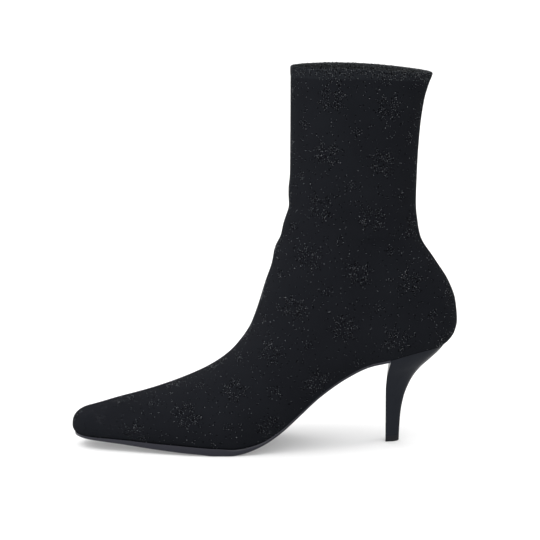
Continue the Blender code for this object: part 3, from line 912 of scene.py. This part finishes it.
def hem_surface(points, flat):
    """The hem's points, normals and flat pattern, with heights along the turned knit from its first row."""
    turned = np.linalg.norm(np.diff(points, axis=0), axis=2).mean(axis=1)
    flat = flat.copy()
    flat[..., 1] = np.concatenate([[0.0], np.cumsum(turned)])[:, None]
    return points, outward_normals(points, np.arange(len(points))), flat


def stitch_places(points, normals, flat):
    """Every stitch on the skin: its wale and course, its place, its normal and its way up."""
    stitches = flat / (WALE, COURSE)
    spots, places, outs, ups = [], [], [], []
    for triangle in ((0, 1, 2), (0, 2, 3)):
        a, b, c = (quad_corners(stitches)[i].reshape(-1, 2) for i in triangle)
        pa, pb, pc = (quad_corners(points)[i].reshape(-1, 3) for i in triangle)
        na, nb, nc = (quad_corners(normals)[i].reshape(-1, 3) for i in triangle)
        ab, ac = b - a, c - a
        area = ab[:, 0] * ac[:, 1] - ab[:, 1] * ac[:, 0]
        up = ((pc - pa) * ab[:, :1] - (pb - pa) * ac[:, :1]) / area[:, None]
        low = np.floor(np.minimum(np.minimum(a, b), c))
        reach = (np.maximum(np.maximum(a, b), c) - low).max(axis=0).astype(int) + 1
        for column in range(reach[0]):
            for row in range(reach[1]):
                spot = low + (column, row)
                d = spot + 0.5 - a
                beta = (d[:, 0] * ac[:, 1] - d[:, 1] * ac[:, 0]) / area
                gamma = (ab[:, 0] * d[:, 1] - ab[:, 1] * d[:, 0]) / area
                inside = (beta >= 0) & (gamma >= 0) & (beta + gamma < 1)
                beta, gamma = beta[inside, None], gamma[inside, None]
                alpha = 1 - beta - gamma
                spots.append(spot[inside])
                places.append(alpha * pa[inside] + beta * pb[inside] + gamma * pc[inside])
                outs.append(alpha * na[inside] + beta * nb[inside] + gamma * nc[inside])
                ups.append(up[inside])
    spots, first = np.unique(np.vstack(spots).astype(int), axis=0, return_index=True)
    places, outs, ups = (np.vstack(part)[first] for part in (places, outs, ups))
    outs = outs / np.linalg.norm(outs, axis=1, keepdims=True)
    ups = ups - outs * np.sum(ups * outs, axis=1, keepdims=True)
    return spots, places, outs, ups / np.linalg.norm(ups, axis=1, keepdims=True)


def star_chart():
    """Which stitches of one repeat glint: the star in the middle and a small diamond at the corners."""
    chart = np.zeros((STAR_COURSES, STAR_WALES), bool)
    middle = STAR_COURSES // 2, STAR_WALES // 2
    top = len(STAR_QUARTER) - 1
    for down, row in enumerate(STAR_QUARTER):
        for across, mark in enumerate(row):
            for up_sign in (-1, 1):
                for side_sign in (-1, 1):
                    course = middle[0] + up_sign * (top - down)
                    chart[course, middle[1] + side_sign * across] |= mark == "#"
    for course in range(-DIAMOND, DIAMOND + 1):
        for wale in range(-DIAMOND, DIAMOND + 1):
            chart[course, wale] |= abs(course) + abs(wale) in (1, DIAMOND)
    return chart


def leaning(ups, outs, lean):
    """Directions in the surface that lean from its way up by angles."""
    return ups * np.cos(lean)[:, None] + np.cross(ups, outs) * np.sin(lean)[:, None]


def make_painted_shade(name, places, outs, ups, rng, painted_shade):
    """Near-black grains of painted shade on the knit, each beside one of the places and to a random side of
    it.
    """
    shade_places = places + PAINTED_SHADE_REACH * leaning(ups, outs, rng.uniform(0, 2 * math.pi, len(places)))
    lengthways = leaning(ups, outs, rng.normal(0, SPECK_LEAN, len(places)))
    size = np.array(PAINTED_SHADE_SIZE) * (PAINTED_SHADE_SPREAD[0] + PAINTED_SHADE_SPREAD[1] * rng.random((len(places), 1)))
    grains(name, shade_places, lengthways, outs, size, [painted_shade])


def make_lurex(skin, painted_shade):
    """The metal thread that shows in the stars, the diamonds and in lone stitches."""
    rng = np.random.default_rng(LUREX_SEED)
    spots, places, outs, ups = stitch_places(*skin)
    chance = rng.random(len(spots))
    wale = (spots[:, 0] + STAR_WALES // 2) % STAR_WALES
    course = spots[:, 1] % STAR_COURSES
    shown = chance < np.where(star_chart()[course, wale], STAR_SHARE, LONE_SHARE)
    places, outs, ups = places[shown], outs[shown], ups[shown]
    stray = rng.normal(0, SPECK_STRAY, (len(places), 2)) * (WALE, COURSE)
    places = places + np.cross(ups, outs) * stray[:, :1] + ups * stray[:, 1:]
    lengthways = leaning(ups, outs, rng.normal(0, SPECK_LEAN, len(places)))
    extra = rng.random((len(places), 1)) ** SPECK_SKEW
    size = np.array(SPECK_SIZE) * (SPECK_SPREAD[0] + SPECK_SPREAD[1] * extra)
    grains("lurex", places, lengthways, outs, size, [lurex_material()])
    make_painted_shade("stitch_painted_shade", places, outs, ups, rng, painted_shade)


def make_hem_loops(hem, painted_shade):
    """Loops of yarn that stand out of the turned hem, outside and inside."""
    spots, places, outs, ups = stitch_places(*hem)
    rng = np.random.default_rng(LOOP_SEED)
    across, up = (spots * (WALE, COURSE)).T
    wave = sum(height * np.sin(2 * math.pi * across / length) for length, height in HEM_WAVES)
    shown = rng.random(len(spots)) < HEM_SHARE * np.clip((up + wave) / HEM_FADE, 0, 1)
    places, outs, ups = places[shown], outs[shown], ups[shown]
    lengthways = leaning(ups, outs, rng.normal(math.pi / 2, LOOP_LEAN, len(places)))
    size = np.array(LOOP_SIZE) * rng.uniform(*LOOP_SPREAD, (len(places), 1))
    grains("hem_loops", places, lengthways, outs, size, [thread_material()])
    make_painted_shade("hem_painted_shade", places, outs, ups, rng, painted_shade)


def sole_ring():
    """The sole line in plan, from the toe down the outer side to the back and up the inner side."""
    outer, inner = ring_sides(0.0, DENSE)
    outer, inner = even_steps(outer, SOLE_HALF + 1), even_steps(inner, SOLE_HALF + 1)
    return np.vstack([outer, inner[-2:0:-1]])[:, :2]


def cut_at(side, x):
    """One side of a ring as far back as x."""
    end = [np.interp(x, side[:, 0], axis) for axis in side.T]
    return np.vstack([side[side[:, 0] < x], end])


def make_insole():
    line = sole_ring()
    outward = plan_outward(line)
    outline = line - (WALL + GAP) * outward
    low = sole_top(outline[:, 0])
    inset = line - (WALL + GAP + INSOLE_ROUND) * outward
    soft = line - (WALL + GAP + INSOLE_SOFT * INSOLE_ROUND) * outward
    top = INSOLE_THICKNESS
    loops = [
        at_height(inset, low + top),
        at_height(soft, low + top - INSOLE_SOFT * INSOLE_ROUND),
        at_height(outline, low + top - INSOLE_ROUND),
        at_height(outline, low),
    ]
    return stacked("insole_sock", loops, [grained("insole")], "insole", tip_at_end=True)


def make_outsole():
    """The sole from the toe to the heel's breast, with a rounded edge."""
    outer, inner = ring_sides(0.0, DENSE)
    outer = even_steps(cut_at(outer, BREAST - LOOK_GAP), SOLE_HALF)
    inner = even_steps(cut_at(inner, BREAST + BREAST_SKEW - LOOK_GAP), SOLE_HALF)
    line = np.vstack([outer, inner[:0:-1]])[:, :2]
    ends = [SOLE_HALF - 1, SOLE_HALF]
    outward = plan_outward(line)
    outward[ends] = (0, -1), (0, 1)
    edge = SOLE_EDGE * smooth(station(line[:, 0]), SOLE_LINE.along, SOLE_LINE.edge)
    wide = line + edge[:, None] * outward
    top = sole_top(wide[:, 0]) - LOOK_GAP
    low = tread(wide[:, 0])
    top_round, low_round = (smooth(station(wide[:, 0]), EDGE_ROUND.along, getattr(EDGE_ROUND, name))
                            for name in ("top", "low"))
    loops = []
    for turn in np.linspace(TOP_START, math.pi / 2, EDGE_TURNS):
        inset = (1 - math.sin(turn)) * top_round[:, None]
        drop = (math.cos(TOP_START) - math.cos(turn)) * top_round
        loops.append(at_height(wide - inset * outward, top - drop))
    for turn in np.linspace(math.pi / 2, 0, EDGE_TURNS):
        inset = (1 - math.sin(turn)) * low_round[:, None]
        loops.append(at_height(wide - inset * outward, low + (1 - math.cos(turn)) * low_round))
    return stacked("outsole_edge", loops, [grained("sole")], "outsole", tip_at_end=False)


def heel_ring(down):
    """One ring of the heel, from its back round by the breast, at a share of the way down."""
    back_x = lengthwise(smooth(down, HEEL_LINE.down, HEEL_LINE.back))
    half = smooth(down, HEEL_LINE.down, HEEL_LINE.half)
    seat = smooth(down, HEEL_LINE.down, HEEL_LINE.seat)
    cover = HEEL_SKIN * (1 - seat)
    breast = BREAST - BREAST_SWEEP * smooth(down, HEEL_LINE.down, HEEL_LINE.breast) - cover
    to_back = np.cos(np.linspace(0, math.pi / 2, HEEL_HALF))
    sides = []
    for side, sign in (("in", 1), ("out", -1)):
        front_x = breast + (BREAST_SKEW * half / HEEL_LINE.half[0] if side == "in" else 0.0)
        seat_x = front_x + (SOLE_BACK[0] - front_x) * to_back
        seat_half = foot_half(seat_x, sole_top(seat_x), side) * half / HEEL_LINE.half[0]
        stem_half = (BALL_WIDTH * half + cover) * (1 - to_back ** STEM_POWER) ** (1 / STEM_POWER)
        y = sign * (seat * seat_half + (1 - seat) * stem_half)
        y[0] = 0.0
        x = front_x + (back_x + cover - front_x) * to_back
        z = HEEL_HEIGHT * (1 - down) + seat * (sole_top(seat_x) - GAP - HEEL_HEIGHT)
        sides.append(np.column_stack([x, y, z]))
    inner, outer = sides
    return np.vstack([inner, outer[:0:-1]])


def round_edges(piece, width):
    """Rounds the piece's sharp edges."""
    bevel = piece.modifiers.new("rounded_edges", "BEVEL")
    bevel.width = width
    bevel.segments = BEVEL_SEGMENTS
    bevel.limit_method = "ANGLE"
    bevel.angle_limit = math.radians(SHARP)


def make_heel():
    end = 1 - (LIFT_THICKNESS + LOOK_GAP) / HEEL_HEIGHT
    loops = [heel_ring(down) for down in np.linspace(0, end, HEEL_ROWS)]
    heel = stacked("heel_cover", loops, [grained("heel_cover")], "heel", tip_at_end=False)
    round_edges(heel, HEEL_EDGE)
    return heel


def make_top_lift():
    top = heel_ring(1 - LIFT_THICKNESS / HEEL_HEIGHT)
    low = heel_ring(1 - LIFT_BEVEL / HEEL_HEIGHT)
    base = at_height(low[:, :2] - LIFT_BEVEL * plan_outward(low[:, :2]), 0.0)
    return stacked("lift_rubber", [top, low, base], [grained("lift")], "top_lift", tip_at_end=False)


# Stage

def make_floor():
    corners = [(-1, -1), (1, -1), (1, 1), (-1, 1)]
    mesh = bpy.data.meshes.new("floor")
    mesh.from_pydata([(FLOOR_HALF * x, FLOOR_HALF * y, 0.0) for x, y in corners], [], [(0, 1, 2, 3)])
    mesh.materials.append(floor_material())
    floor = bpy.data.objects.new("floor", mesh)
    bpy.context.scene.collection.objects.link(floor)


def make_softbox(name, place, size, power):
    """A square area light that faces the boot."""
    data = bpy.data.lights.new(name, "AREA")
    data.shape = "SQUARE"
    data.size = size
    data.energy = power
    light = bpy.data.objects.new(name, data)
    light.location = place
    light.rotation_euler = (SOFTBOX_AIM - Vector(place)).to_track_quat("-Z", "Y").to_euler()
    bpy.context.scene.collection.objects.link(light)


def make_studio():
    world = bpy.data.worlds.new("studio")
    world.use_nodes = True
    tree = world.node_tree
    direction = tree.nodes.new("ShaderNodeTexCoord")
    split = tree.nodes.new("ShaderNodeSeparateXYZ")
    tree.links.new(direction.outputs["Generated"], split.inputs[0])
    upward = calc(tree, "MAXIMUM", split.outputs["Z"], 0.0)
    leftward = calc(tree, "MULTIPLY", split.outputs["X"], -1.0)
    brighter = calc(tree, "ADD", calc(tree, "MULTIPLY", upward, SKY_RISE), SKY_LOW)
    strength = calc(tree, "ADD", calc(tree, "MULTIPLY", leftward, SKY_LEFT), brighter)
    tree.links.new(strength, tree.nodes["Background"].inputs["Strength"])
    tree.nodes["Background"].inputs["Color"].default_value = WHITE
    bpy.context.scene.world = world
    for softbox in SOFTBOXES:
        make_softbox(*softbox)
    bpy.context.scene.view_settings.view_transform = "Standard"


def make_camera():
    data = bpy.data.cameras.new("camera")
    data.lens = CAMERA_LENS
    camera = bpy.data.objects.new("camera", data)
    camera.location = CAMERA_PLACE
    camera.rotation_euler = (CAMERA_TARGET - CAMERA_PLACE).to_track_quat("-Z", "Y").to_euler()
    bpy.context.scene.collection.objects.link(camera)
    bpy.context.scene.camera = camera


make_camera()
make_studio()
make_floor()
skin, hem = make_upper(flat_pattern())
# near-black painted shade beside the specks and the hem's loops
painted_shade = painted_shade_material()
make_lurex(skin, painted_shade)
make_hem_loops(hem, painted_shade)
make_insole()
make_outsole()
make_heel()
make_top_lift()
